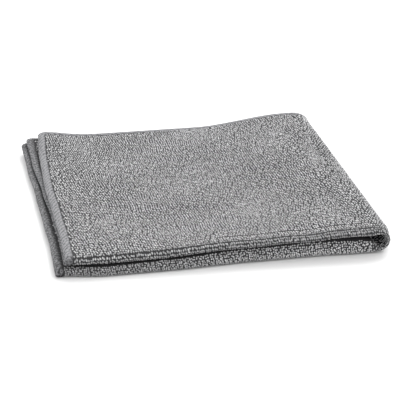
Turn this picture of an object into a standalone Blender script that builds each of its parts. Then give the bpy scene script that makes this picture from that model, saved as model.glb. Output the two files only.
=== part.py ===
"""Microfibre cloth, folded in four.

One square of knitted terry, about 40 cm each way. It is folded in half along its front, so that its back
edges meet, and then in half again round a soft turn at its right. Four layers lie on each other: layers 1
and 2 are the top half, and layers 3 and 4 the low half. Layers 1 and 4 are one outer layer, and layers 2
and 3 one inner layer, and the front fold joins the two all the way along.

X runs along the front fold from the left edges to the turn, Y from the front fold to the back edges, and Z
up from the table. Lengths are in millimetres, and the mesh is made in metres.

Two numbers place a point of the cloth. Its run goes from -1 at the left edge of the top half to 0 at the
turn, round the turn to 1, and back to 2 at the left edge of the low half. Its cross goes from -1 at the
back edge of the outer layer to 0 at the front fold, round the fold to 1, and on to 2 at the back edge of the
inner layer.
"""

from collections import namedtuple
import math

import bmesh
import bpy
from mathutils import Vector

MM = 0.001

# The folded cloth from above.
WIDTH = 194.4           # left edge of layer 1 to the outside of the turn
DEPTH = 200.0           # front fold to the back edges
TURN_START = 182.0      # where both halves leave the table's level and go round the turn

# The sheet and how close its layers lie.
SHEET = 2.5             # thickness of the sheet with its pile
SHEET_IN_TURN = 1.7     # where the turn stretches it and presses its pile down
PITCH = 2.85            # layer to layer, where they lie on each other
PITCH_IN_TURN = 2.1

# The form of the top: the turn holds the right side up, and the back left corner stands up.
TURN_LIFT = 6.4
TURN_LIFT_FROM = 112.0  # where the top starts to rise towards the turn
TURN_LIFT_TO = 190.0
FRONT_SWELL_REACH = 60.0
CORNER_LIFT = 3.9
CORNER_LIFT_X = 3.0
CORNER_LIFT_REACH = 20.0
CORNER_LIFT_FROM_Y = 150.0
CORNER_PARTING = 1.2    # how much more layer 1 lifts there than layer 2
FOLD_PITCH_REACH = 45.0  # how far behind the front fold its open pitch closes
TURN_DRAWN_IN = 2.4     # how much narrower the turn is at the front fold
TURN_DRAWN_IN_FROM_Y = -3.0
TURN_DRAWN_IN_REACH = 14.0

# The front fold of the top half. swell lifts the top above the fold.
TopFold = namedtuple("TopFold", "x swell pitch crest_y")
TOP_FOLD = (
    TopFold(0.0, 2.2, 2.85, 1.5),
    TopFold(50.0, 2.8, 2.85, -0.5),
    TopFold(95.0, 4.0, 3.0, -0.5),
    TopFold(125.0, 4.0, 3.0, -1.5),
    TopFold(150.0, 2.0, 3.1, -2.5),
    TopFold(182.0, 0.2, 2.6, -3.5),
)

# The front fold of the low half is fatter, and fattest just before the turn.
LowFold = namedtuple("LowFold", "x pitch crest_y")
LOW_FOLD = (
    LowFold(-4.0, 5.0, 0.8),
    LowFold(25.0, 5.0, -3.2),
    LowFold(60.0, 5.6, -3.2),
    LowFold(110.0, 6.4, -1.6),
    LowFold(150.0, 7.2, -2.0),
    LowFold(174.0, 7.5, -3.0),
    LowFold(182.0, 7.5, -3.0),
)

# The left edges. The inner layers have less way to go round the turn, so they reach out further at the back.
LeftEdge = namedtuple("LeftEdge", "y layer1 layer2 layer3 layer4")
LEFT_EDGES = (
    LeftEdge(0.0, 0.0, 0.0, -4.0, -4.0),
    LeftEdge(60.0, 0.0, -0.2, -5.0, -4.2),
    LeftEdge(110.0, 0.3, -1.7, -7.3, -4.5),
    LeftEdge(160.0, 0.9, -3.8, -9.3, -4.8),
    LeftEdge(200.0, 1.4, -5.0, -11.0, -5.0),
)
CORNER_RADIUS = {"layer1": 6.0, "layer2": 4.0, "layer3": 4.0, "layer4": 4.0}

# How the sheet is divided: each stretch of run or cross is cut into even steps.
Stretch = namedtuple("Stretch", "start end steps")
RUN_STRETCHES = (
    Stretch(-1.00, -0.72, 6),
    Stretch(-0.72, -0.38, 3),
    Stretch(-0.38, 0.00, 7),
    Stretch(0.00, 0.80, 9),
    Stretch(0.80, 0.88, 2),
    Stretch(0.88, 1.07, 9),
    Stretch(1.07, 1.38, 5),
    Stretch(1.38, 2.00, 7),
)
CROSS_STRETCHES = (
    Stretch(-1.00, -0.97, 4),
    Stretch(-0.97, -0.75, 3),
    Stretch(-0.75, -0.30, 4),
    Stretch(-0.30, 0.00, 5),
    Stretch(0.00, 1.00, 8),
    Stretch(1.00, 1.30, 5),
    Stretch(1.30, 1.75, 4),
    Stretch(1.75, 1.97, 3),
    Stretch(1.97, 2.00, 4),
)

GREY = (0.30, 0.30, 0.31)


def ease(t):
    """Rise smoothly from 0 to 1 as t goes from 0 to 1."""
    t = min(max(t, 0.0), 1.0)
    return t * t * (3.0 - 2.0 * t)


def blend(a, b, share):
    return a + (b - a) * share


def read_rows(rows, place, column):
    """Value of a column at a place, easing from each row to the next. The first column holds the places."""
    if place <= rows[0][0]:
        return getattr(rows[0], column)
    for low, high in zip(rows, rows[1:]):
        if place <= high[0]:
            share = ease((place - low[0]) / (high[0] - low[0]))
            return blend(getattr(low, column), getattr(high, column), share)
    return getattr(rows[-1], column)


def divide(stretches):
    """All the values of run or cross at which the sheet has a line of points."""
    values = [stretches[0].start]
    for part in stretches:
        step = (part.end - part.start) / part.steps
        values.extend(part.start + step * (i + 1) for i in range(part.steps))
    return values


def in_turn(run):
    """1 round the turn, where the sheet is stretched thin, and 0 on both straight halves."""
    return ease(run / 0.3) * (1.0 - ease((run - 0.96) / 0.16))


def sheet_thickness(run):
    return blend(SHEET, SHEET_IN_TURN, in_turn(run))


def corner_share(x, y):
    """1 at the back left corner of the top half, falling to 0 around it."""
    along = math.exp(-((x - CORNER_LIFT_X) / CORNER_LIFT_REACH) ** 2)
    return along * ease((y - CORNER_LIFT_FROM_Y) / (DEPTH - CORNER_LIFT_FROM_Y))


def top_height(x, y):
    """Height of the cloth's top: four layers, the lift of the turn, the front fold's swell, the corner."""
    flat = SHEET + 3.0 * PITCH
    turn = TURN_LIFT * ease((x - TURN_LIFT_FROM) / (TURN_LIFT_TO - TURN_LIFT_FROM))
    front = read_rows(TOP_FOLD, x, "swell") * (1.0 - ease((y - 2.0) / FRONT_SWELL_REACH))
    return flat + turn + front + CORNER_LIFT * corner_share(x, y)


def left_edge(layer, y):
    """X of a layer's left edge, with its rounded back corner."""
    radius = CORNER_RADIUS[layer]
    into_corner = min(max((y - (DEPTH - radius)) / radius, 0.0), 0.96)
    rounding = radius * (1.0 - math.sqrt(1.0 - into_corner ** 2))
    return read_rows(LEFT_EDGES, y, layer) + rounding


def straight_x(run, layer, y):
    """X on a straight half, where a layer is stretched evenly from the turn to its left edge."""
    share = -run if run < 0.5 else run - 1.0
    return blend(TURN_START, left_edge(layer, y), share)


def outer_layer(run, y):
    """Point and outward direction of the outer layer at a depth y, as x, z, direction x, direction z.

    The straight halves lie at the top's height and on the table. The turn between them is half an ellipse.
    """
    half = sheet_thickness(run) / 2.0
    if run <= 0.0:
        x = straight_x(run, "layer1", y)
        return x, top_height(x, y) - half, 0.0, 1.0
    if run >= 1.0:
        return straight_x(run, "layer4", y), half, 0.0, -1.0
    angle = math.pi * run
    middle = top_height(TURN_START, y) / 2.0
    drawn_in = TURN_DRAWN_IN * (1.0 - ease((y - TURN_DRAWN_IN_FROM_Y) / TURN_DRAWN_IN_REACH))
    reach = WIDTH - half - TURN_START - drawn_in
    rise = middle - half
    direction_x = math.sin(angle) / reach
    direction_z = math.cos(angle) / rise
    length = math.hypot(direction_x, direction_z)
    x = TURN_START + reach * math.sin(angle)
    return x, middle + rise * math.cos(angle), direction_x / length, direction_z / length


def fold_pitch(run, x):
    """Layer to layer distance at the front fold: the top half's, then the turn's, then the low half's."""
    if run < 0.5:
        return blend(read_rows(TOP_FOLD, x, "pitch"), PITCH_IN_TURN, ease(run / 0.3))
    return blend(PITCH_IN_TURN, read_rows(LOW_FOLD, x, "pitch"), ease((run - 0.88) / 0.19))


def sheet_point(run, cross):
    """Middle of the sheet at a run and a cross.

    The inner layer is the outer one moved inwards by the pitch. The front fold between them is half a circle
    whose diameter is the pitch, and the pitch closes behind the fold.
    """
    x = TURN_START
    if run < 0.0:
        x = TURN_START * (1.0 + run)
    elif run > 1.0:
        x = blend(TURN_START, LEFT_EDGES[0].layer4, run - 1.0)
    open_pitch = fold_pitch(run, x)
    crest = blend(read_rows(TOP_FOLD, x, "crest_y"), read_rows(LOW_FOLD, x, "crest_y"), ease(run))
    fold_end = crest + open_pitch / 2.0
    y = fold_end
    if cross < 0.0:
        y = blend(fold_end, DEPTH, -cross)
    elif cross > 1.0:
        y = blend(fold_end, DEPTH, cross - 1.0)
    closed_pitch = blend(PITCH, PITCH_IN_TURN, in_turn(run))
    pitch = blend(open_pitch, closed_pitch, ease((y - fold_end) / FOLD_PITCH_REACH))
    angle = math.pi * min(max(cross, 0.0), 1.0)
    y -= open_pitch / 2.0 * math.sin(angle)
    inward = (1.0 - math.cos(angle)) / 2.0

    outer_x, outer_z, direction_x, direction_z = outer_layer(run, y)
    inner_x = outer_x
    if run < 0.0:
        inner_x = straight_x(run, "layer2", y)
        pitch += CORNER_PARTING * corner_share(outer_x, y)
    elif run > 1.0:
        inner_x = straight_x(run, "layer3", y)
    x = blend(outer_x, inner_x, inward) - direction_x * pitch * inward
    return Vector((x, y, outer_z - direction_z * pitch * inward))


def make_sheet(name):
    """A flat grid of the whole square, each of whose points is then put where the folds bring it."""
    runs = divide(RUN_STRETCHES)
    crosses = divide(CROSS_STRETCHES)
    mesh = bpy.data.meshes.new(name)
    bm = bmesh.new()
    bmesh.ops.create_grid(bm, x_segments=len(runs) - 1, y_segments=len(crosses) - 1, size=1.0)
    weights = bm.verts.layers.deform.verify()
    for vert in bm.verts:
        run = runs[round((vert.co.x + 1.0) / 2.0 * (len(runs) - 1))]
        cross = crosses[round((vert.co.y + 1.0) / 2.0 * (len(crosses) - 1))]
        vert.co = sheet_point(run, cross) * MM
        vert[weights][0] = sheet_thickness(run) / SHEET
    bmesh.ops.reverse_faces(bm, faces=bm.faces)
    bm.to_mesh(mesh)
    bm.free()
    mesh.shade_smooth()
    return mesh


def give_thickness(cloth):
    """Make the open sheet a solid, thinner where its vertex group says so."""
    cloth.vertex_groups.new(name="pile height")
    wall = cloth.modifiers.new("Sheet thickness", "SOLIDIFY")
    wall.thickness = SHEET * MM
    wall.offset = 0.0
    wall.vertex_group = "pile height"
    wall.thickness_vertex_group = 0.0
    wall.use_rim = True


def stand_on_origin(cloth):
    """Move the mesh so that the middle of the solid's underside is the origin."""
    solid = cloth.evaluated_get(bpy.context.evaluated_depsgraph_get())
    corners = [Vector(corner) for corner in solid.bound_box]
    low_x = min(corner.x for corner in corners)
    high_x = max(corner.x for corner in corners)
    low_y = min(corner.y for corner in corners)
    high_y = max(corner.y for corner in corners)
    middle = Vector(((low_x + high_x) / 2.0, (low_y + high_y) / 2.0, 0.0))
    for vert in cloth.data.vertices:
        vert.co -= middle


def make_terry():
    material = bpy.data.materials.new("grey microfibre terry")
    material.use_nodes = True
    shader = material.node_tree.nodes["Principled BSDF"]
    shader.inputs["Base Color"].default_value = (*GREY, 1.0)
    shader.inputs["Roughness"].default_value = 0.95
    shader.inputs["Metallic"].default_value = 0.0
    shader.inputs["Sheen Weight"].default_value = 0.3
    return material


def build():
    for old in list(bpy.context.scene.objects):
        bpy.data.objects.remove(old, do_unlink=True)
    collection = bpy.data.collections.new("microfibre cloth")
    bpy.context.scene.collection.children.link(collection)
    cloth = bpy.data.objects.new("cloth", make_sheet("cloth"))
    collection.objects.link(cloth)
    cloth.data.materials.append(make_terry())
    give_thickness(cloth)
    stand_on_origin(cloth)


build()
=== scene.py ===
"""Microfibre cloth, folded in four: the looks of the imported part.

The cloth is knitted terry with an overlocked edge. This script puts the knitted ground on the folds of the
CAD solid, sets the pile loops on it in their courses and wales, and sews the edge all the way round.

X runs along the front fold from the left edges to the turn, Y from the front fold to the back edges, and Z
up from the table. Lengths are in millimetres, and the meshes are made in metres.
"""

from collections import namedtuple
import math

import bpy
import numpy as np
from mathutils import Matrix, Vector


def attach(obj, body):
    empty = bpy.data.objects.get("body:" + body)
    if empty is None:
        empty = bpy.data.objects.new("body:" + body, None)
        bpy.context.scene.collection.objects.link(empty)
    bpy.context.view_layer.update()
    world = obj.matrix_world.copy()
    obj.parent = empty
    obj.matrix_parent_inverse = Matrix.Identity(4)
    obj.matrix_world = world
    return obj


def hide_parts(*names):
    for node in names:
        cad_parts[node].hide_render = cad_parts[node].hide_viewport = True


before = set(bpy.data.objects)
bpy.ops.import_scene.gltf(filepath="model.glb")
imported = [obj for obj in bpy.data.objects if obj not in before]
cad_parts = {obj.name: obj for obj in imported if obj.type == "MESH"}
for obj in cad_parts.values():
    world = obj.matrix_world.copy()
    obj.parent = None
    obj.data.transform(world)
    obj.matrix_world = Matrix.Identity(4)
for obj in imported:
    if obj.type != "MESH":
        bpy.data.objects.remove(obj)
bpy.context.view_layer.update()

# ---------------------------------------------------------------------------------------------------------
# The photographer's table: a white paper sweep, one large soft light above and behind it, and white walls all
# round. The white is lit until it has no tone of its own, so only the cloth's pale shadow is left on it.

MM = 0.001
SWEEP_SIZE = 30.0       # metres
SWEEP_WHITE = "#cccccc"
WALLS_STRENGTH = 1.82
TOP_LIGHT_SIZE = 1.5    # metres
TOP_LIGHT_PLACE = (0.7, 1.15, 1.45)     # metres
TOP_LIGHT_WATTS = 40.0
CAMERA_PLACE = (-0.1427, -0.7912, 0.3527)   # metres
CAMERA_TURNED = math.radians(10.59)     # from +Y towards +X
CAMERA_LOOKS_DOWN = math.radians(23.71)
CAMERA_LENS = 122.5
CAMERA_SENSOR = 36.0    # wide


def linear(hex_colour):
    """An sRGB hex colour as linear red, green, blue and alpha."""
    channels = [int(hex_colour[i:i + 2], 16) / 255.0 for i in (1, 3, 5)]
    curve = [c / 12.92 if c <= 0.04045 else ((c + 0.055) / 1.055) ** 2.4 for c in channels]
    return (*curve, 1.0)


def add_node(tree, kind, settings=None, **inputs):
    """Add a node, set its properties, and fill its inputs with values or with (node, output) links.

    An input goes by its name, or by i and its number.
    """
    node = tree.nodes.new(kind)
    for name, value in (settings or {}).items():
        setattr(node, name, value)
    for name, value in inputs.items():
        numbered = name[0] == "i" and name[1:].isdigit()
        socket = node.inputs[int(name[1:]) if numbered else name.replace("_", " ")]
        if isinstance(value, tuple) and isinstance(value[0], bpy.types.Node):
            tree.links.new(value[0].outputs[value[1]], socket)
        else:
            socket.default_value = value
    return node


def new_material(name):
    """A material with one Principled shader, as its tree and its shader."""
    material = bpy.data.materials.new(name)
    material.use_nodes = True
    return material, material.node_tree, material.node_tree.nodes["Principled BSDF"]


def link_mesh(name, points, faces, material):
    """A smooth-shaded object of points in millimetres and faces of three or four corners each."""
    mesh = bpy.data.meshes.new(name)
    mesh.from_pydata((points * MM).tolist(), [], faces.tolist())
    mesh.shade_smooth()
    mesh.materials.append(material)
    piece = bpy.data.objects.new(name, mesh)
    bpy.context.scene.collection.objects.link(piece)
    return piece


# Uncoated white paper, matt all over.
sweep_paper, tree, shader = new_material("matt white paper sweep")
shader.inputs["Base Color"].default_value = linear(SWEEP_WHITE)
shader.inputs["Roughness"].default_value = 0.9
far = SWEEP_SIZE / 2.0 / MM
corners = np.array([(-far, -far, 0.0), (far, -far, 0.0), (far, far, 0.0), (-far, far, 0.0)])
sweep = link_mesh("sweep", corners, np.array([(0, 1, 2, 3)]), sweep_paper)

walls = bpy.data.worlds.new("white studio walls")
bpy.context.scene.world = walls
walls.use_nodes = True
walls.node_tree.nodes["Background"].inputs["Color"].default_value = (1.0, 1.0, 1.0, 1.0)
walls.node_tree.nodes["Background"].inputs["Strength"].default_value = WALLS_STRENGTH

soft_box = bpy.data.lights.new("soft box", "AREA")
soft_box.size = TOP_LIGHT_SIZE
soft_box.energy = TOP_LIGHT_WATTS
lamp = bpy.data.objects.new("soft box", soft_box)
lamp.location = TOP_LIGHT_PLACE
lamp.rotation_euler = Vector(TOP_LIGHT_PLACE).to_track_quat("Z", "Y").to_euler()
bpy.context.scene.collection.objects.link(lamp)

camera = bpy.data.objects.new("camera", bpy.data.cameras.new("camera"))
camera.location = CAMERA_PLACE
camera.rotation_euler = (math.pi / 2.0 - CAMERA_LOOKS_DOWN, 0.0, -CAMERA_TURNED)
camera.data.lens = CAMERA_LENS
camera.data.sensor_width = CAMERA_SENSOR
bpy.context.scene.collection.objects.link(camera)
bpy.context.scene.camera = camera
bpy.context.scene.view_settings.view_transform = "Standard"

# ---------------------------------------------------------------------------------------------------------
# The knitted ground: one square of warp-knitted polyester and polyamide, about 40 cm each way, that carries
# the pile. It is folded in half along its front, and then in half again round a soft turn at its right.

# A place on the sheet is its run and its cross. Run goes from -1 at the left edge of the top half to 0 at the
# turn, round it to 1, and back to 2. Cross goes from -1 at the back edge of the outer layer to 0 at the front
# fold, round it to 1, and back to 2.

WIDTH = 195.0           # left edge of layer 1 to the outside of the turn
DEPTH = 200.0           # front fold to the back edges
TURN_START = 182.0
MIDDLE = (91.7, 97.6, 0.0)  # of the folded cloth's outline, which the part has at its origin
SHEET = 2.5             # thickness of the sheet with its pile
SHEET_IN_TURN = 1.7
GROUND_SHARE = 0.4      # of that thickness
PITCH = 2.85            # layer to layer
PITCH_IN_TURN = 0.8
CLOSED_BY = 0.3         # run by which the sheet has thinned and its layers have closed
TURN_LIFT = 6.4         # of the top, which rises along x towards the turn
TURN_LIFT_FROM = 112.0
TURN_LIFT_TO = 190.0
TURN_LIFT_TO_AT_BACK = 178.0
FRONT_SWELL_REACH = 60.0
CORNER_LIFT = 3.9
CORNER_LIFT_X = 3.0
CORNER_LIFT_REACH = 20.0
CORNER_LIFT_FROM_Y = 150.0
CORNER_PARTING = 1.2
LOW_CORNER_PARTING = 2.2
FOLD_PITCH_REACH = 45.0
LOW_FOLD_LAG = 0.035    # how much later, in run, the low fold opens on its inner layer
LOW_FOLD_PRESSED = 0.65  # how far the sine's power falls below 1 on its lower quarter
TURN_DRAWN_IN = 2.4     # at the front
TURN_DRAWN_IN_FROM_Y = -3.0
TURN_DRAWN_IN_REACH = 14.0

# The front fold of the top half. swell lifts the top above the fold.
TopFold = namedtuple("TopFold", "x swell pitch crest_y")
TOP_FOLD = (
    TopFold(0.0, 2.2, 4.2, 1.5),
    TopFold(25.0, 2.5, 4.7, 0.5),
    TopFold(55.0, 2.9, 4.2, -0.5),
    TopFold(95.0, 4.0, 2.9, -0.5),
    TopFold(125.0, 4.0, 1.9, -1.5),
    TopFold(150.0, 2.0, 1.9, -2.5),
    TopFold(182.0, 0.2, 2.4, -3.5),
)

# The front fold of the low half is fatter, and fattest just before the turn.
LowFold = namedtuple("LowFold", "x pitch crest_y")
LOW_FOLD = (
    LowFold(-4.0, 3.7, 2.2),
    LowFold(25.0, 3.4, -1.7),
    LowFold(60.0, 4.6, -1.6),
    LowFold(110.0, 7.4, 0.3),
    LowFold(150.0, 8.6, 0.4),
    LowFold(174.0, 8.0, -0.6),
    LowFold(182.0, 7.6, -1.0),
)

# The left edges. The inner layers have less way to go round the turn, so they reach out further at the back.
LeftEdge = namedtuple("LeftEdge", "y layer1 layer2 layer3 layer4")
LEFT_EDGES = (
    LeftEdge(0.0, 1.1, 0.5, -4.5, -4.5),
    LeftEdge(35.0, 1.3, 0.7, -4.7, -4.4),
    LeftEdge(70.0, 0.2, -0.6, -6.0, -4.3),
    LeftEdge(110.0, -1.3, -3.0, -7.4, -4.5),
    LeftEdge(160.0, -0.9, -6.0, -9.6, -4.8),
    LeftEdge(200.0, 0.8, -7.3, -10.8, -5.0),
)
CORNER_RADIUS = {"layer1": 6.0, "layer2": 4.0, "layer3": 4.0, "layer4": 4.0}

# How the ground is divided: each stretch of run or cross is cut into even steps.
Stretch = namedtuple("Stretch", "start end steps")
RUN_STRETCHES = (Stretch(-1.0, 0.0, 46), Stretch(0.0, 0.9, 24), Stretch(0.9, 1.08, 18),
                 Stretch(1.08, 2.0, 40))
CROSS_STRETCHES = (Stretch(-1.0, -0.2, 22), Stretch(-0.2, 0.0, 14), Stretch(0.0, 1.0, 20),
                   Stretch(1.0, 1.2, 14), Stretch(1.2, 2.0, 22))


def ease(t):
    """Rise smoothly from 0 to 1 as t goes from 0 to 1: 3 t squared less 2 t cubed."""
    t = np.clip(t, 0.0, 1.0)
    return t * t * (3.0 - 2.0 * t)


def blend(a, b, share):
    return a + (b - a) * share


def read_rows(rows, place, column):
    """Values of a column at many places, easing from each row to the next."""
    places = np.array([row[0] for row in rows])
    values = np.array([getattr(row, column) for row in rows])
    low = np.clip(np.searchsorted(places, place) - 1, 0, len(rows) - 2)
    share = ease((place - places[low]) / (places[low + 1] - places[low]))
    return blend(values[low], values[low + 1], share)


def divide(stretches):
    """All the values of run or cross at which the sheet has a line of points."""
    steps = [np.linspace(part.start, part.end, part.steps, endpoint=False) for part in stretches]
    return np.concatenate([*steps, [stretches[-1].end]])


def in_turn(run):
    """1 round the turn, where the sheet is stretched thin, and 0 on both straight halves.

    It eases up as the turn begins, and down again over the runs from 0.96 to 1.12.
    """
    return ease(run / CLOSED_BY) * (1.0 - ease((run - 0.96) / 0.16))


def sheet_thickness(run):
    return blend(SHEET, SHEET_IN_TURN, in_turn(run))


def corner_share(x, y):
    """1 at the back left corner of the top half, falling to 0 as a bell along x and as an ease along y."""
    along = np.exp(-((x - CORNER_LIFT_X) / CORNER_LIFT_REACH) ** 2)
    return along * ease((y - CORNER_LIFT_FROM_Y) / (DEPTH - CORNER_LIFT_FROM_Y))


def top_height(x, y):
    """Height of the cloth's top: four layers, the lift of the turn, the front fold's swell, the corner.

    The lift is an ease along x. The x at which it is complete eases from its value at the front to its value
    at the back, over y from 60 to 180.
    """
    flat = SHEET + 3.0 * PITCH
    lift_to = blend(TURN_LIFT_TO, TURN_LIFT_TO_AT_BACK, ease((y - 60.0) / 120.0))
    turn = TURN_LIFT * ease((x - TURN_LIFT_FROM) / (lift_to - TURN_LIFT_FROM))
    front = read_rows(TOP_FOLD, x, "swell") * (1.0 - ease((y - 2.0) / FRONT_SWELL_REACH))
    return flat + turn + front + CORNER_LIFT * corner_share(x, y)


def left_edge(layer, y):
    """X of a layer's left edge, with its rounded back corner."""
    radius = CORNER_RADIUS[layer]
    into_corner = np.clip((y - (DEPTH - radius)) / radius, 0.0, 0.96)
    rounding = radius * (1.0 - np.sqrt(1.0 - into_corner ** 2))
    return read_rows(LEFT_EDGES, y, layer) + rounding


def straight_x(run, layer, y):
    """X on a straight half, where a layer is stretched evenly from the turn to its left edge."""
    share = np.where(run < 0.5, -run, run - 1.0)
    return blend(TURN_START, left_edge(layer, y), share)


def outer_layer(run, y):
    """Point and outward direction of the outer layer at a depth y, as x, z, direction x, direction z.

    The straight halves lie at the top's height and on the table. The turn between them is half an ellipse:
    x is the turn's start plus reach times the sine, and z its middle plus rise times the cosine of pi run.
    """
    half = sheet_thickness(run) / 2.0
    top_x = straight_x(run, "layer1", y)
    low_x = straight_x(run, "layer4", y)
    angle = math.pi * np.clip(run, 0.0, 1.0)
    middle = top_height(np.full_like(y, TURN_START), y) / 2.0
    drawn_in = TURN_DRAWN_IN * (1.0 - ease((y - TURN_DRAWN_IN_FROM_Y) / TURN_DRAWN_IN_REACH))
    reach = WIDTH - half - TURN_START - drawn_in
    rise = middle - half
    direction_x = np.sin(angle) / reach
    direction_z = np.cos(angle) / rise
    length = np.hypot(direction_x, direction_z)
    places = [run <= 0.0, run >= 1.0]
    x = np.select(places, [top_x, low_x], TURN_START + reach * np.sin(angle))
    z = np.select(places, [top_height(top_x, y) - half, half], middle + rise * np.cos(angle))
    return (x, z, np.select(places, [0.0, 0.0], direction_x / length),
            np.select(places, [1.0, -1.0], direction_z / length))


def fold_pitch(run, x):
    """Layer to layer distance at the front fold: the top half's, then the turn's, then the low half's.

    It closes as the turn begins, and opens again over the runs from 0.76 to 1.01.
    """
    top = blend(read_rows(TOP_FOLD, x, "pitch"), PITCH_IN_TURN, ease(run / CLOSED_BY))
    low = blend(PITCH_IN_TURN, read_rows(LOW_FOLD, x, "pitch"), ease((run - 0.76) / 0.25))
    return np.where(run < 0.5, top, low)


def fold_crest(run, x):
    """Y of the front fold's foremost line."""
    return blend(read_rows(TOP_FOLD, x, "crest_y"), read_rows(LOW_FOLD, x, "crest_y"), ease(run))


def along_fold(run):
    """X by which the front fold's tables are read."""
    low = blend(TURN_START, LEFT_EDGES[0].layer4, run - 1.0)
    return np.select([run < 0.0, run > 1.0], [TURN_START * (1.0 + run), low], TURN_START)


def sheet_point(run, cross):
    """Middle of the sheet at each run and cross, as points in one more axis.

    The inner layer is the outer one moved inwards by the pitch. The front fold between them is half a circle
    whose diameter is the pitch, and the pitch closes behind the fold. The low half rests on its fold, so that
    its lower quarter is pressed square: y goes with the sine to the power of 1 less the pressing there. Its
    inner layer opens later out of the turn than its outer one, which leaves a slanting ridge between them.
    """
    run, cross = np.broadcast_arrays(np.asarray(run, float), np.asarray(cross, float))
    x = along_fold(run)
    angle = math.pi * np.clip(cross, 0.0, 1.0)
    inward = (1.0 - np.cos(angle)) / 2.0
    open_pitch = fold_pitch(run - LOW_FOLD_LAG * inward * (run > 0.5), x)
    fold_end = fold_crest(run, x) + open_pitch / 2.0
    y = blend(fold_end, DEPTH, np.select([cross < 0.0, cross > 1.0], [-cross, cross - 1.0], 0.0))
    closed_pitch = blend(PITCH, PITCH_IN_TURN, in_turn(run))
    pitch = blend(open_pitch, closed_pitch, ease((y - fold_end) / FOLD_PITCH_REACH))
    pressed = LOW_FOLD_PRESSED * ease((run - 0.85) / 0.2) * (angle < math.pi / 2.0)
    y = y - open_pitch / 2.0 * np.sin(angle) ** (1.0 - pressed)

    outer_x, outer_z, direction_x, direction_z = outer_layer(run, y)
    halves = [run < 0.0, run > 1.0]
    pitch = pitch + np.select(halves, [CORNER_PARTING, LOW_CORNER_PARTING], 0.0) * corner_share(outer_x, y)
    inner_x = np.select(halves, [straight_x(run, "layer2", y), straight_x(run, "layer3", y)], outer_x)
    x = blend(outer_x, inner_x, inward) - direction_x * pitch * inward
    return np.stack([x, y, outer_z - direction_z * pitch * inward], axis=-1)


def unit(vectors):
    return vectors / np.linalg.norm(vectors, axis=-1, keepdims=True)


def sheet_frame(run, cross):
    """Middle of the sheet, unit vectors along run and along cross, and the pile side's outward normal.

    The two vectors are central differences of the middle, and the normal is their vector product.
    """
    step = 0.002
    along_run = unit(sheet_point(run + step, cross) - sheet_point(run - step, cross))
    along_cross = sheet_point(run, cross + step) - sheet_point(run, cross - step)
    normal = unit(np.cross(along_cross, along_run))
    return sheet_point(run, cross), along_run, np.cross(along_run, normal), normal


def grid_faces(rows, columns, first=0, turned=False):
    """The four-cornered faces of a grid of points, row by row, turned over or not."""
    corner = first + np.arange(rows - 1)[:, None] * columns + np.arange(columns - 1)
    faces = np.stack([corner, corner + columns, corner + columns + 1, corner + 1], axis=-1).reshape(-1, 4)
    return faces[:, ::-1] if turned else faces


def rim_faces(rows, columns, second):
    """Faces that join the border of one grid to that of a second one, whose points start at second."""
    index = np.arange(rows * columns).reshape(rows, columns)
    border = np.concatenate([index[0, :-1], index[:-1, -1], index[-1, :0:-1], index[:0:-1, 0]])
    onward = np.roll(border, -1)
    return np.stack([border, onward, onward + second, border + second], axis=-1)


def make_ground(material):
    """A closed shell: the sheet's middle plus and minus half of the ground's thickness along the normal."""
    runs, crosses = divide(RUN_STRETCHES), divide(CROSS_STRETCHES)
    run, cross = np.meshgrid(runs, crosses, indexing="ij")
    middle, _, _, normal = sheet_frame(run, cross)
    half = normal * (sheet_thickness(run) * GROUND_SHARE / 2.0)[..., None]
    points = np.concatenate([(middle + half).reshape(-1, 3), (middle - half).reshape(-1, 3)]) - MIDDLE
    count = run.size
    faces = np.concatenate([grid_faces(*run.shape, turned=True), grid_faces(*run.shape, first=count),
                            rim_faces(*run.shape, count)])
    return link_mesh("terry_ground", points, faces, material)


# Knitted ground: matt, and its colour is painted far darker than the loops' yarn, as the shade that its own
# pile casts on it. A grain of about 1 mm stands for its stitches.
knit, tree, shader = new_material("warp-knitted microfibre ground")
place = add_node(tree, "ShaderNodeTexCoord")
grain = add_node(tree, "ShaderNodeTexNoise", Vector=(place, "Object"), Scale=900.0, Detail=2.0)
tone = add_node(tree, "ShaderNodeMix", {"data_type": "RGBA"}, i0=(grain, "Fac"), i6=linear("#262627"),
                i7=linear("#39393a"))
relief = add_node(tree, "ShaderNodeBump", Height=(grain, "Fac"), Strength=0.6, Distance=0.0003)
tree.links.new(tone.outputs["Result"], shader.inputs["Base Color"])
tree.links.new(relief.outputs["Normal"], shader.inputs["Normal"])
shader.inputs["Roughness"].default_value = 0.95
shader.inputs["Specular IOR Level"].default_value = 0.2

ground = make_ground(knit)
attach(ground, "root")
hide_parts("cloth")

# ---------------------------------------------------------------------------------------------------------
# The pile: short loops of split microfibre yarn, knitted into the ground in courses along X and wales along
# Y. Each lies over towards the front and a little to the right, so that it shows as a short stroke, and the
# knit shows as rows only where a fold opens it. The loops are drawn a little coarser than the real ones.

WALE = 1.5              # from wale to wale
COURSE = 2.5            # from course to course
FOLD_STRETCH = 1.12     # how much the courses move apart in front of the groove
SKEW = 0.16             # how far a wale moves to the right for each millimetre towards the front
LEAN = math.radians(22.0)   # of a loop, from the front towards the right
LEAN_SPREAD = 0.25      # in radians
BRUSHED_MIDDLE = (18.0, 152.0)  # of the patch at the back left where the pile lies the other way
BRUSHED_REACH = (28.0, 34.0)
BRUSHED_BACK = 3.2      # how many times its own lean the pile is brushed back there
GROOVE_AT_LEFT = 2.0    # from the top fold's foremost line back to the deepest groove between its courses
GROOVE_RECEDES = 0.0222  # for each millimetre along the fold
LOW_GROOVE = 1.2
SECOND_GROOVE = 7.0     # behind the first one
SECOND_PARTING = 0.5
GROOVE_REACH = 3.0
LOOP_THICKNESS = 0.8
LOOP_FOOT = 0.1         # above the sheet's middle
LOOP_SINKS = 0.2        # at most, below the pile's surface
LOOP_LENGTHS = (0.8, 1.2)   # by chance, as shares of the length and width asked for
LOOP_WIDTHS = (0.85, 1.15)
BEND_SPREAD = 0.12
SHADE_SPREAD = 0.2
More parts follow.
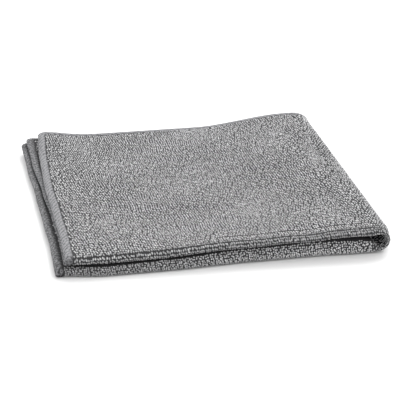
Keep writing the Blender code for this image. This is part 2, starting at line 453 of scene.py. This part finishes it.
MOST_LOOPS = 4000       # in one piece
EDGING_WIDTH = 5.2      # of the sewn edge, under which there is no pile
BAND_RUN = EDGING_WIDTH / TURN_START
BAND_CROSS = EDGING_WIDTH / DEPTH
chance = np.random.default_rng(11)

Loops = namedtuple("Loops", "run cross lean")

# Waves in which the knit is drawn aside: size, and distance along X and Y in which the phase grows by one.
Wave = namedtuple("Wave", "size x y")
WAVES = (Wave(1.2, 20.0, 19.0), Wave(0.9, 14.0, -11.0), Wave(0.3, 10.0, 2.6), Wave(0.3, -9.0, 3.5))


def brushed_share(x, y):
    """1 in the middle of the patch brushed the other way, falling to 0 as a bell along x and along y."""
    across = (x - BRUSHED_MIDDLE[0]) / BRUSHED_REACH[0]
    back = (y - BRUSHED_MIDDLE[1]) / BRUSHED_REACH[1]
    return np.exp(-across ** 2 - back ** 2)


def sideways_drift(x, y):
    """How far the knit is drawn aside: the sum over the waves of size times the sine of the two phases."""
    return sum(wave.size * np.sin(x / wave.x + y / wave.y) for wave in WAVES)


def groove(run):
    """Distance of the deepest groove between courses from the fold's foremost line, negative behind it."""
    return np.where(run < 0.95, -GROOVE_AT_LEFT - GROOVE_RECEDES * along_fold(run), -LOW_GROOVE)


def cross_at(run, distance):
    """Cross of the place at a distance from the front fold's foremost line, over the pile's own surface.

    The distance is negative on the outer layer and positive on the inner one. Half of the fold's length there
    is a quarter circle whose radius is half of the pitch and half of the sheet.
    """
    x = along_fold(run)
    open_pitch = fold_pitch(run, x)
    half_fold = math.pi / 2.0 * (open_pitch + SHEET) / 2.0
    flat = (np.abs(distance) - half_fold) / (DEPTH - fold_crest(run, x) - open_pitch / 2.0)
    on_fold = 0.5 + 0.5 * distance / half_fold
    return np.select([distance < -half_fold, distance > half_fold], [-flat, 1.0 + flat], on_fold)


def drawn_from(distance):
    """How a groove draws the courses away from it, from 1 in front of it and -1 behind it down to nothing.

    It is the distance's sign times e to the power of minus its size over the groove's reach.
    """
    return np.sign(distance) * np.exp(-np.abs(distance) / GROOVE_REACH)


def lay_pile(runs, width, reach, loose=0.16, wale=WALE, course=COURSE, parting=0.45):
    """Loops in a patch of a width in mm between two runs, over a reach from the groove counted in courses.

    A loop's place x in the patch is its wale's number times the wale, plus the skew times its distance from
    the groove, and that distance is its course's number times the course. It misses its place by up to loose
    of a wale and of a course, and by 0.05 more at the patch's start, easing off over 50 mm. What runs out at
    one side of the patch comes in at the other, so that the patch is filled.

    The groove draws the courses apart by parting, times 0.6 at the patch's start and easing to times 1.5 at
    120 mm. A second groove behind it opens from 60 to 100 mm. The waves draw the knit aside, from 5 mm behind
    the groove and fully from 20 mm, and less near the patch's sides. A loop's lean is the pile's own, brushed
    back in one patch, plus the angle by which its wale is drawn aside, plus chance. That is greater in the
    first 60 mm. Loops under the sewn edge are left out.
    """
    columns = round(width / wale)
    column, number = np.meshgrid(np.arange(columns) + 0.5, np.arange(*reach) + 0.5, indexing="ij")
    loose = loose + 0.05 * ease(1.0 - wale * column / 50.0)
    column = column + loose * chance.uniform(-1.0, 1.0, column.shape)
    distance = course * (number + loose * chance.uniform(-1.0, 1.0, column.shape))
    x = np.mod(width * column / columns + SKEW * distance, width)
    free = ease(x / min(40.0, 0.4 * width)) * ease((width - x) / 12.0) * ease((-5.0 - distance) / 15.0)
    slope = SKEW - free * (sideways_drift(x, 1.0 - distance) - sideways_drift(x, -1.0 - distance)) / 2.0
    distance = np.where(distance > 0.0, FOLD_STRETCH * distance, distance)
    second = SECOND_PARTING * ease((x - 60.0) / 40.0) * drawn_from(distance + SECOND_GROOVE)
    distance = distance + parting * blend(0.6, 1.5, ease(x / 120.0)) * drawn_from(distance) + second
    run = blend(*runs, (x + free * sideways_drift(x, -distance)) / width)
    cross = cross_at(run, groove(run) + distance)
    lean = LEAN * (1.0 - BRUSHED_BACK * brushed_share(x, -distance)) + np.arctan(slope) - math.atan(SKEW)
    lean = lean + (LEAN_SPREAD + 0.15 * ease(1.0 - x / 60.0)) * chance.normal(0.0, 1.0, x.shape)
    kept = (cross > -1.0 + BAND_CROSS) & (cross < 2.0 - BAND_CROSS)
    return Loops(run[kept], cross[kept], lean[kept])


def write_values(piece, name, values):
    """Give each of the piece's points a value, which its material reads by the attribute's name."""
    attribute = piece.data.attributes.new(name, "FLOAT", "POINT")
    attribute.data.foreach_set("value", np.ravel(values).astype(np.float32))


def set_loops(name, material, loops, length, width, stations, sides, tone_with_painted_light=0.5, face=1.0):
    """Loops on the pile side of the sheet, in as many pieces as they need.

    Along a loop t goes from -1 to 1. Its middle line stands at foot + (crown - foot) (1 - t squared) above
    the sheet's middle, and is bent sideways by bend (1 - t squared). Its section is an ellipse of a few
    sides, which closes to a point at both ends.

    tone_with_painted_light is the loops' middle shade, for all of them or for each one: 0 is the darker yarn
    and 1 the lighter. Besides the yarn's own tone it carries the light and shade painted for the patch. face
    is -1 for loops on the sheet's other side.
    """
    count = loops.run.size
    pieces = math.ceil(count / MOST_LOOPS)
    if pieces > 1:
        for part in range(pieces):
            chosen = slice(part * count // pieces, (part + 1) * count // pieces)
            some = Loops(*(values[chosen] for values in loops))
            set_loops(f"{name}_{part + 1}", material, some, length, width, stations, sides, tone_with_painted_light, face)
        return
    middle, along_run, along_cross, normal = sheet_frame(loops.run, loops.cross)
    normal = face * normal
    forward = along_cross * np.cos(loops.lean)[:, None] + along_run * np.sin(loops.lean)[:, None]
    sideways = np.cross(normal, forward)
    half_length = length / 2.0 * chance.uniform(*LOOP_LENGTHS, count)
    half_width = width / 2.0 * chance.uniform(*LOOP_WIDTHS, count)
    crown = sheet_thickness(loops.run) / 2.0 - LOOP_THICKNESS / 2.0 - chance.uniform(0.0, LOOP_SINKS, count)
    bend = chance.normal(0.0, BEND_SPREAD, count)

    t = np.linspace(-1.0, 1.0, stations + 2)
    arch = 1.0 - t ** 2
    up = LOOP_FOOT + (crown[:, None] - LOOP_FOOT) * arch
    line = (middle[:, None] + forward[:, None] * (half_length[:, None] * t)[..., None]
            + normal[:, None] * up[..., None] + sideways[:, None] * (bend[:, None] * arch)[..., None])
    turn = 2.0 * math.pi * (np.arange(sides) + 0.5) / sides + math.pi
    fullness = np.sqrt(arch)[None, :, None]
    across = half_width[:, None, None] * fullness * np.sin(turn)
    above = np.broadcast_to(LOOP_THICKNESS / 2.0 * fullness * -np.cos(turn), across.shape)
    rings = (line[:, 1:-1, None] + sideways[:, None, None] * across[:, 1:-1, :, None]
             + normal[:, None, None] * above[:, 1:-1, :, None])
    points = np.concatenate([rings.reshape(count, -1, 3), line[:, :1], line[:, -1:]], axis=1)

    per_loop = stations * sides + 2
    ring = np.arange(sides)
    onward = np.roll(ring, -1)
    walls = np.concatenate([np.stack([ring + k, onward + k, onward + k + sides, ring + k + sides], axis=-1)
                            for k in range(0, (stations - 1) * sides, sides)])
    last = (stations - 1) * sides
    start_cap = np.stack([onward, ring, np.full(sides, per_loop - 2)], axis=-1)
    end_cap = np.stack([ring + last, onward + last, np.full(sides, per_loop - 1)], axis=-1)
    triangles = np.concatenate([walls[:, [0, 1, 2]], walls[:, [0, 2, 3]], start_cap, end_cap])
    faces = (triangles[None] + per_loop * np.arange(count)[:, None, None]).reshape(-1, 3)
    pile = link_mesh(name, points.reshape(-1, 3) - MIDDLE, faces, material)

    # How high each point stands between the bare ground, 0, and the top of its loop, 1. The yarn's colour is
    # painted darker towards 0, as shade within the pile.
    bare = sheet_thickness(loops.run)[:, None] / 2.0 * GROUND_SHARE
    reach = (crown + LOOP_THICKNESS / 2.0)[:, None] - bare
    height = ((up[:, 1:-1, None] + above[:, 1:-1]).reshape(count, -1) - bare) / reach
    height = np.concatenate([np.clip(height, 0.0, 1.0), np.zeros((count, 2))], axis=1)
    # Each loop's shade: the patch's, with its painted light and shade, plus a tone of the yarn's own that
    # differs at random.
    shade = tone_with_painted_light + SHADE_SPREAD * chance.normal(0.0, 1.0, count)
    write_values(pile, "fibre shade", shade[:, None] * np.ones(per_loop))
    write_values(pile, "loop height", height)
    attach(pile, "root")


# Split microfibre yarn: matt, with a faint sheen. Its colour is painted darker from each loop's crown towards
# its feet, down to the ground's dark grey, as the shade within the pile, so that a crown is lightest where it
# catches the light. Its tone also carries the light and shade painted for each patch. Its fibres are far too
# fine to draw, so specks about 0.6 mm wide stand for them.
yarn, tree, shader = new_material("split microfibre yarn")
shade = add_node(tree, "ShaderNodeAttribute", {"attribute_name": "fibre shade"})
height = add_node(tree, "ShaderNodeAttribute", {"attribute_name": "loop height"})
place = add_node(tree, "ShaderNodeTexCoord")
fibres = add_node(tree, "ShaderNodeTexNoise", Vector=(place, "Object"), Scale=1600.0, Detail=3.0)
mixed = add_node(tree, "ShaderNodeMath", {"operation": "MULTIPLY_ADD"}, i0=(fibres, "Fac"), i1=1.2, i2=-0.6)
mixed = add_node(tree, "ShaderNodeMath", {"operation": "ADD"}, i0=(shade, "Fac"), i1=(mixed, "Value"))
tone = add_node(tree, "ShaderNodeMix", {"data_type": "RGBA"}, i0=(mixed, "Value"), i6=linear("#929293"),
                i7=linear("#dededf"))
# Painted shade within the pile: darker towards the loop's feet, by its height.
painted_pile_shade = add_node(tree, "ShaderNodeMix", {"data_type": "RGBA"}, i0=(height, "Fac"), i6=linear("#39393a"),
                i7=(tone, "Result"))
relief = add_node(tree, "ShaderNodeBump", Height=(fibres, "Fac"), Strength=0.5, Distance=0.0002)
tree.links.new(painted_pile_shade.outputs["Result"], shader.inputs["Base Color"])
tree.links.new(relief.outputs["Normal"], shader.inputs["Normal"])
shader.inputs["Roughness"].default_value = 0.9
shader.inputs["Specular IOR Level"].default_value = 0.25
shader.inputs["Sheen Weight"].default_value = 0.25
shader.inputs["Sheen Roughness"].default_value = 0.5

TOP_FROM = -1.0 + BAND_RUN      # runs between which the pile lies, inside the sewn edge
LOW_TO = 2.0 - BAND_RUN
HALF_LENGTH = TURN_START - EDGING_WIDTH
TURN_LENGTH = 31.0              # round the outside of the turn
loop = dict(length=2.2, width=1.0, stations=3, sides=6)

# The top half, the turn, and the front folds of both. The loops on the folds are painted darker than those on
# the top, as the shade on the folds' front faces, and the top fold's are painted darker still towards the
# turn, as it turns away from the light there.
top_fold = lay_pile((TOP_FROM, 0.0), HALF_LENGTH, (-1, 4), wale=1.3, loose=0.2)
set_loops("pile_top", yarn, lay_pile((TOP_FROM, 0.0), HALF_LENGTH, (-80, -1)), **loop)
set_loops("pile_top_fold", yarn, top_fold, length=2.0, width=1.0, stations=3, sides=6,
          tone_with_painted_light=-0.15 - 0.45 * top_fold.run)
set_loops("pile_turn", yarn, lay_pile((0.0, 1.0), TURN_LENGTH, (-80, -1)), **loop)
set_loops("pile_turn_fold", yarn, lay_pile((0.0, 1.0), TURN_LENGTH, (-1, 4)), length=1.6, width=0.75,
          stations=3, sides=6, tone_with_painted_light=0.2)

# The front fold of the low half, painted lighter towards the turn, as the light that falls there from the
# right, and painted dark along the table, as shade where the fold meets it. Its loops stop before the crease
# between the halves, so that the bare ground, painted dark as shade, shows there as a dark line.
low_fold = lay_pile((1.0, LOW_TO), HALF_LENGTH, (-4, 4), wale=1.3, course=1.4, loose=0.3, parting=0.0)
painted_table_shade = 1.0 - ease((low_fold.cross - 0.05) / 0.25)
set_loops("pile_low_fold", yarn, low_fold, length=1.4, width=1.05, stations=2, sides=6,
          tone_with_painted_light=-0.1 + 0.9 * (2.0 - low_fold.run) - 0.9 * painted_table_shade)

# The underside, whose loops have the fewest faces, the hollow inside the turn, whose loops are painted at the
# lightest tone as the light on its inner wall, the underside of the lifted corner, 21 mm wide, and the strip
# of the low half that reaches out past the top half, 18 mm wide.
under = lay_pile((1.0, LOW_TO), HALF_LENGTH, (-73, -2), wale=1.6, course=2.7)
set_loops("pile_under", yarn, under, length=2.5, width=1.15, stations=2, sides=4)
set_loops("pile_turn_inside", yarn, lay_pile((0.0, 1.0), TURN_LENGTH, (4, 24)), tone_with_painted_light=1.0, **loop)
set_loops("pile_corner", yarn, lay_pile((TOP_FROM, TOP_FROM + 0.12), 21.0, (50, 80)), face=-1.0, **loop)
set_loops("pile_low_strip", yarn, lay_pile((LOW_TO - 0.1, LOW_TO), 18.0, (8, 80)), **loop)

# ---------------------------------------------------------------------------------------------------------
# The overlocked edge: polyester threads that wrap the cut edge of the cloth all the way round. They lie side
# by side on the slant and hide the pile under them, as a smooth flat cord 5 mm wide. They are really about
# 2.2 mm apart, and are drawn twice as far apart so that they show.

THREAD = 4.4            # from thread to thread along the edge
THREAD_SLANT = 1.75     # how far a thread moves on along the edge for each millimetre across it
STITCH = 3.7            # from needle stitch to needle stitch, along the inner border
# How strongly shade is painted on the edge round the top half's front fold, from 0 to 1.
FOLD_EDGE_SHADE = 0.85
SEAM_FROM = (0.8, 0.35)     # as shares of the edging's width, where the thread is lit and where its shade is painted
SEAM_OVER = (0.18, 0.6)
EDGING_OVERHANG = 0.3   # past the cut edge
EDGING_STEP = 0.8
EDGING_SIDES = 14
EDGE_SAMPLES = 3000     # along each side of the cloth, before the edge is cut into even steps

EdgeSteps = namedtuple("EdgeSteps", "points tangents normals half dull gone")


def edge_line():
    """Run and cross along the whole edge: both left edges and both back edges, as one closed line."""
    corners = np.array([(-1.0, -1.0), (-1.0, 2.0), (2.0, 2.0), (2.0, -1.0), (-1.0, -1.0)])
    share = np.linspace(0.0, 1.0, EDGE_SAMPLES, endpoint=False)
    sides = [blend(a, b, share[:, None]) for a, b in zip(corners, corners[1:])]
    return np.concatenate([*sides, corners[-1:]])


def even_steps(line, step):
    """At even distances along the edge: points, tangents, normals, half thicknesses, painted shade and
    distances.

    dull is 0 along the top edge, eases up round the top half's front fold, where the edge turns down away
    from the light, and is 1 on the low half, whose thread lies in the shade under the top half. It is painted
    into the thread's colour.
    """
    middle, _, _, normal = sheet_frame(line[:, 0], line[:, 1])
    gone = np.concatenate([[0.0], np.cumsum(np.linalg.norm(np.diff(middle, axis=0), axis=1))])
    wanted = np.linspace(0.0, gone[-1], round(gone[-1] / step) + 1)
    points = np.stack([np.interp(wanted, gone, middle[:, k]) for k in range(3)], axis=-1)
    normals = unit(np.stack([np.interp(wanted, gone, normal[:, k]) for k in range(3)], axis=-1))
    ring = points[:-1]
    tangents = np.roll(ring, -2, axis=0) - np.roll(ring, 2, axis=0)
    tangents = np.concatenate([tangents, tangents[:1]])
    tangents = unit(tangents - normals * (tangents * normals).sum(1)[:, None])
    half = np.interp(wanted, gone, sheet_thickness(line[:, 0])) / 2.0
    dull = np.maximum(ease(line[:, 0]), FOLD_EDGE_SHADE * ease(1.4 * line[:, 1]))
    return EdgeSteps(points, tangents, normals, half, np.interp(wanted, gone, dull), wanted)


def make_edging(material):
    """A tube on the cloth's edge: a flat oval carried along it until it meets itself.

    At an angle a round the section, a point lies width (1 - cos a) / 2 inwards from the edge and half the
    thickness times sin a above the middle. Its threads are counted by distance along the edge over their
    pitch, plus distance across it over the pitch and times the slant. Its seam goes from 0 to 1 towards the
    inner border, and takes up more of the width where the thread's shade is painted.
    """
    edge = even_steps(edge_line(), EDGING_STEP)
    inwards = np.cross(edge.normals, edge.tangents)
    angle = 2.0 * math.pi * (np.arange(EDGING_SIDES + 1) + 0.5) / EDGING_SIDES
    across = (1.0 - np.cos(angle)) / 2.0 * EDGING_WIDTH
    surface = (edge.points[:, None] + inwards[:, None] * (across - EDGING_OVERHANG)[None, :, None]
               + edge.normals[:, None] * (edge.half[:, None] * np.sin(angle))[..., None])
    grid = surface.shape[:2]
    edging = link_mesh("overlocked_edge", surface.reshape(-1, 3) - MIDDLE, grid_faces(*grid), material)
    gone, whole = edge.gone[:, None], edge.gone[-1]
    dull = np.broadcast_to(edge.dull[:, None], grid)
    write_values(edging, "threads", round(whole / THREAD) * gone / whole + across * THREAD_SLANT / THREAD)
    write_values(edging, "stitches", np.broadcast_to(round(whole / STITCH) * gone / whole, grid))
    write_values(edging, "seam", (across / EDGING_WIDTH - blend(*SEAM_FROM, dull)) / blend(*SEAM_OVER, dull))
    write_values(edging, "dull", dull)
    return edging


# Textured polyester thread: a little lighter than the ground, with dark lines between threads, and a dark
# stitch hole wherever the needle thread ties the others down along the inner border. Where the edge lies in
# the shade, round the top half's front fold and under the top half, that shade is painted: darker all over,
# with dark specks about 1 mm wide between its fibres.
thread, tree, shader = new_material("textured polyester overlock thread")
threads = add_node(tree, "ShaderNodeAttribute", {"attribute_name": "threads"})
stitches = add_node(tree, "ShaderNodeAttribute", {"attribute_name": "stitches"})
seam = add_node(tree, "ShaderNodeAttribute", {"attribute_name": "seam"})
dull = add_node(tree, "ShaderNodeAttribute", {"attribute_name": "dull"})
place = add_node(tree, "ShaderNodeTexCoord")
uneven = add_node(tree, "ShaderNodeTexNoise", Vector=(place, "Object"), Scale=220.0, Detail=1.0)
turned = add_node(tree, "ShaderNodeMath", {"operation": "ADD"}, i0=(threads, "Fac"), i1=(uneven, "Fac"))
turned = add_node(tree, "ShaderNodeMath", {"operation": "MULTIPLY"}, i0=(turned, "Value"), i1=math.pi)
wave = add_node(tree, "ShaderNodeMath", {"operation": "COSINE"}, i0=(turned, "Value"))
rib = add_node(tree, "ShaderNodeMath", {"operation": "ABSOLUTE"}, i0=(wave, "Value"))
fibres = add_node(tree, "ShaderNodeTexNoise", Vector=(place, "Object"), Scale=900.0, Detail=2.0)
mixed = add_node(tree, "ShaderNodeMath", {"operation": "MULTIPLY_ADD"}, i0=(fibres, "Fac"), i1=3.2, i2=-1.6)
mixed = add_node(tree, "ShaderNodeMath", {"operation": "ADD"}, i0=(rib, "Value"), i1=(mixed, "Value"))
tone = add_node(tree, "ShaderNodeMix", {"data_type": "RGBA"}, i0=(mixed, "Value"), i6=linear("#3e3e40"),
                i7=linear("#747476"))
turned = add_node(tree, "ShaderNodeMath", {"operation": "MULTIPLY"}, i0=(stitches, "Fac"), i1=math.pi)
wave = add_node(tree, "ShaderNodeMath", {"operation": "COSINE"}, i0=(turned, "Value"))
hole = add_node(tree, "ShaderNodeMath", {"operation": "ABSOLUTE"}, i0=(wave, "Value"))
border = add_node(tree, "ShaderNodeMapRange", Value=(seam, "Fac"))
dark = add_node(tree, "ShaderNodeMath", {"operation": "MULTIPLY"}, i0=(border, "Result"), i1=(hole, "Value"))
# Painted shade, speckled by the fibres' noise, where the edge lies in the shade.
shade_specks = add_node(tree, "ShaderNodeMapRange", Value=(fibres, "Fac"), From_Min=0.52, From_Max=0.4, To_Min=0.25,
                To_Max=0.95)
dark = add_node(tree, "ShaderNodeMath", {"operation": "MULTIPLY_ADD"}, i0=(dull, "Fac"), i1=(shade_specks, "Result"),
                i2=(dark, "Value"))
tone = add_node(tree, "ShaderNodeMix", {"data_type": "RGBA"}, i0=(dark, "Value"), i6=(tone, "Result"),
                i7=linear("#262627"))
relief = add_node(tree, "ShaderNodeBump", Height=(rib, "Value"), Strength=0.35, Distance=0.0004)
tree.links.new(tone.outputs["Result"], shader.inputs["Base Color"])
tree.links.new(relief.outputs["Normal"], shader.inputs["Normal"])
shader.inputs["Roughness"].default_value = 0.8
shader.inputs["Specular IOR Level"].default_value = 0.3

edging = make_edging(thread)
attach(edging, "root")
